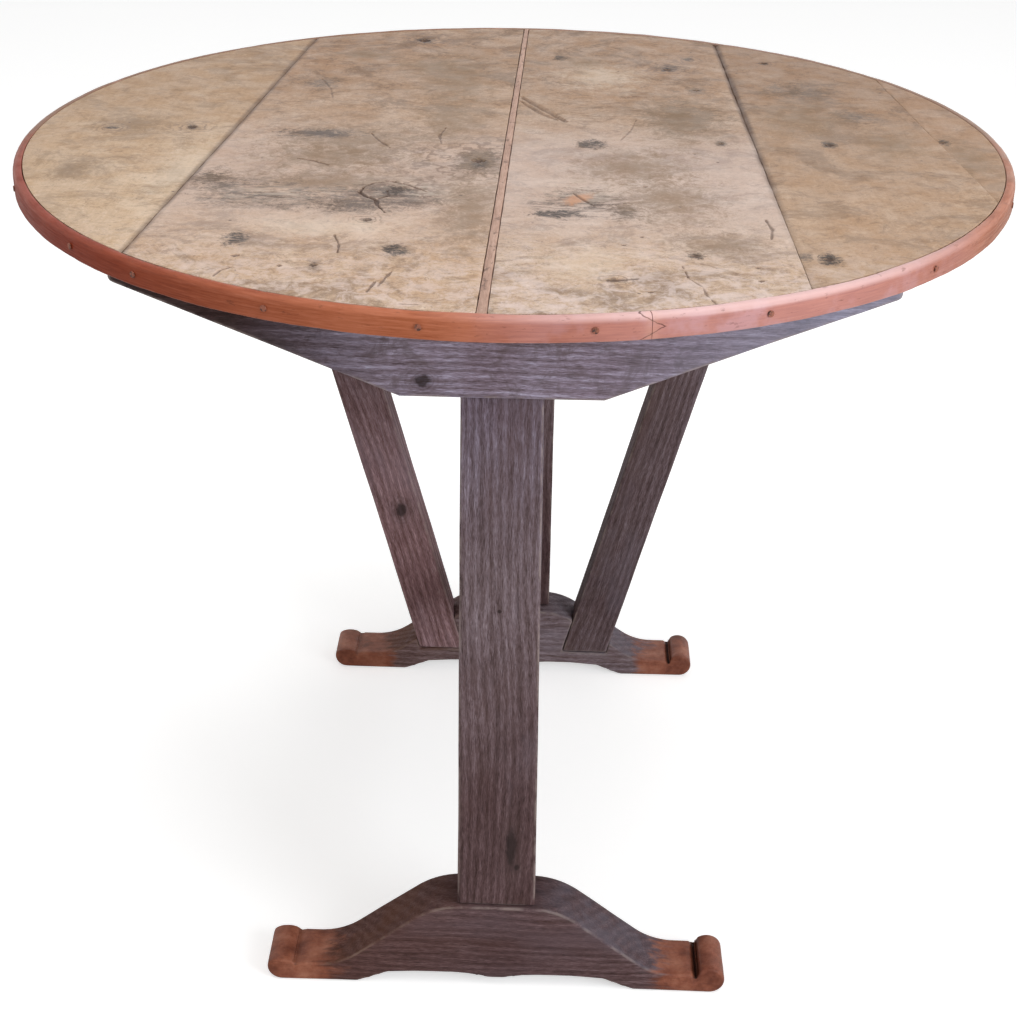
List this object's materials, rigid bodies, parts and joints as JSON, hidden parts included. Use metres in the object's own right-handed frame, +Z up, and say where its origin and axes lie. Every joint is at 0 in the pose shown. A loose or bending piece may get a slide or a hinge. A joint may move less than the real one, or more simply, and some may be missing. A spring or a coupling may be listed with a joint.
{
  "type": "tilt top table",
  "caption": "Round boarded tilt-top table on a fixed trestle base: scrolled feet, a front post, and two splayed rear legs that carry the top's turned axle.",
  "frame": {"origin": "on the floor, under the centre of the round top and of the bounding box", "axes": "+Z up, +X to the right seen from the front post, -Y towards the front post; the tilting axis runs along X at the rear"},
  "size_m": [0.856, 0.856, 0.73],
  "materials": {
    "top_boards": "bleached and worn, waxed",
    "filler_strip": "bleached and worn, waxed",
    "edge_band": "brick-coloured stain, satin",
    "iron_nails": "dark, hand-forged",
    "oak_pegs": "dull",
    "oak_frame": "aged grey-brown oak, dull wax"
  },
  "bodies": {
    "base": {"cross_rail": "oak_frame", "cross_rail_pegs": "oak_pegs", "front_foot": "oak_frame", "front_foot_pegs": "oak_pegs", "front_post": "oak_frame", "leg_lap_pegs": "oak_pegs", "lower_rail": "oak_frame", "rail_pegs": "oak_pegs", "rear_foot": "oak_frame", "rear_foot_pegs": "oak_pegs", "rear_post": "oak_frame", "upper_rail": "oak_frame", "v_leg_left": "oak_frame", "v_leg_right": "oak_frame"},
    "top": {"band_nails": "iron_nails", "board_1": "top_boards", "board_2": "top_boards", "board_3": "top_boards", "board_4": "top_boards", "board_5": "top_boards", "edge_band_left": "edge_band", "edge_band_right": "edge_band", "filler_strip": "filler_strip", "front_batten": "oak_frame", "front_batten_nails": "iron_nails", "rear_batten": "oak_frame", "rear_batten_nails": "iron_nails"}
  },
  "joints": [
    {"name": "top_tilt", "type": "hinge", "parent": "base", "child": "top", "pos_m": [0, 0.287, 0.66], "axis": [-1, 0, 0], "range_deg": [0, 90]}
  ]
}
